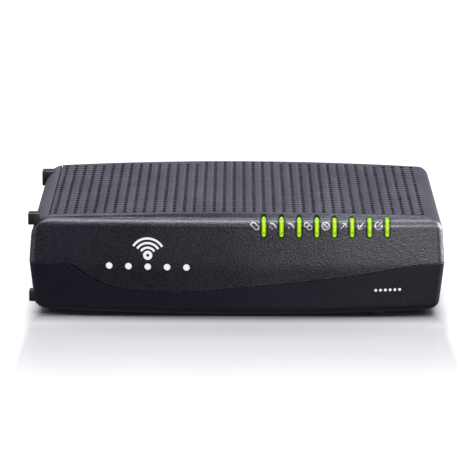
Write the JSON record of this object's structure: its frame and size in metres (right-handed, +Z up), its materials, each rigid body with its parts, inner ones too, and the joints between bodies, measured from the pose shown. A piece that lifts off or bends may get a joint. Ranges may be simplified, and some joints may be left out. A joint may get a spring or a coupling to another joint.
{
  "type": "cable modem",
  "caption": "Low cable modem with a perforated top, green indicator lenses, telephone, network and coaxial sockets, a backup battery behind a side cover and a recessed reset button.",
  "frame": {"origin": "on the table under the middle of the bounding box, at the undersides of the rubber feet", "axes": "+X along the width towards the right as seen from the front, +Y towards the rear panel, +Z up"},
  "size_m": [0.2163, 0.159, 0.0555],
  "materials": {
    "case_plastic": "fine moulded texture, charcoal",
    "panel_plastic": "satin black",
    "reset_plastic": "satin",
    "foot_rubber": "matt",
    "stand_foot_plastic": "satin black",
    "lens_green": "lit yellow-green, emissive",
    "led_white": "clear resin",
    "board_green": "solder mask",
    "board_tin": "tinned sheet",
    "nickel": "nickel plated",
    "socket_plastic": "satin black",
    "gold_contact": "gold plated",
    "chip_black": "moulded resin",
    "aluminium": "extruded",
    "insulator_white": "satin",
    "coil_tape": "film tape",
    "capacitor_sleeve": "shrink sleeve",
    "battery_wrap": "film wrap",
    "label_film": "blank printed film",
    "screw_steel": "dark steel"
  },
  "bodies": {
    "modem": {"battery_bay": "panel_plastic", "battery_contacts": "insulator_white", "battery_pack": "battery_wrap", "board_screw_1": "screw_steel", "board_screw_2": "screw_steel", "bottom_case": "case_plastic", "bulk_capacitor_1": "capacitor_sleeve", "bulk_capacitor_2": "capacitor_sleeve", "case_screw_1": "screw_steel", "case_screw_2": "screw_steel", "case_screw_3": "screw_steel", "case_screw_4": "screw_steel", "ethernet_contacts": "gold_contact", "ethernet_jack": "socket_plastic", "f_connector": "nickel", "f_insulator": "insulator_white", "f_nut": "nickel", "heat_sink": "aluminium", "led_1": "led_white", "led_2": "led_white", "led_3": "led_white", "led_4": "led_white", "led_5": "led_white", "led_6": "led_white", "led_7": "led_white", "led_8": "led_white", "light_pipe_1": "lens_green", "light_pipe_2": "lens_green", "light_pipe_3": "lens_green", "light_pipe_4": "lens_green", "light_pipe_5": "lens_green", "light_pipe_6": "lens_green", "light_pipe_7": "lens_green", "light_pipe_8": "lens_green", "main_board": "board_green", "main_chip": "chip_black", "memory_chip": "chip_black", "phone_contacts_1": "gold_contact", "phone_contacts_2": "gold_contact", "phone_jack_1": "socket_plastic", "phone_jack_2": "socket_plastic", "power_inlet": "socket_plastic", "power_pin_1": "nickel", "power_pin_2": "nickel", "rating_label": "label_film", "rear_panel": "panel_plastic", "reset_switch": "chip_black", "rubber_foot_1": "foot_rubber", "rubber_foot_2": "foot_rubber", "rubber_foot_3": "foot_rubber", "rubber_foot_4": "foot_rubber", "stand_foot_front_lower": "stand_foot_plastic", "stand_foot_front_upper": "stand_foot_plastic", "stand_foot_rear_lower": "stand_foot_plastic", "top_cover": "case_plastic", "transformer": "coil_tape", "tuner_shield": "board_tin"},
    "door": {"battery_door": "case_plastic", "stand_foot_rear_upper": "stand_foot_plastic"},
    "reset": {"reset_button": "reset_plastic"}
  },
  "joints": [
    {"name": "door_slide", "type": "slide", "parent": "modem", "child": "door", "axis": [-1, 0, 0], "range_m": [0, 0.03]},
    {"name": "reset_press", "type": "slide", "parent": "modem", "child": "reset", "axis": [0, -1, 0], "range_m": [0, 0.0005], "stiffness_N_per_m": 400}
  ]
}
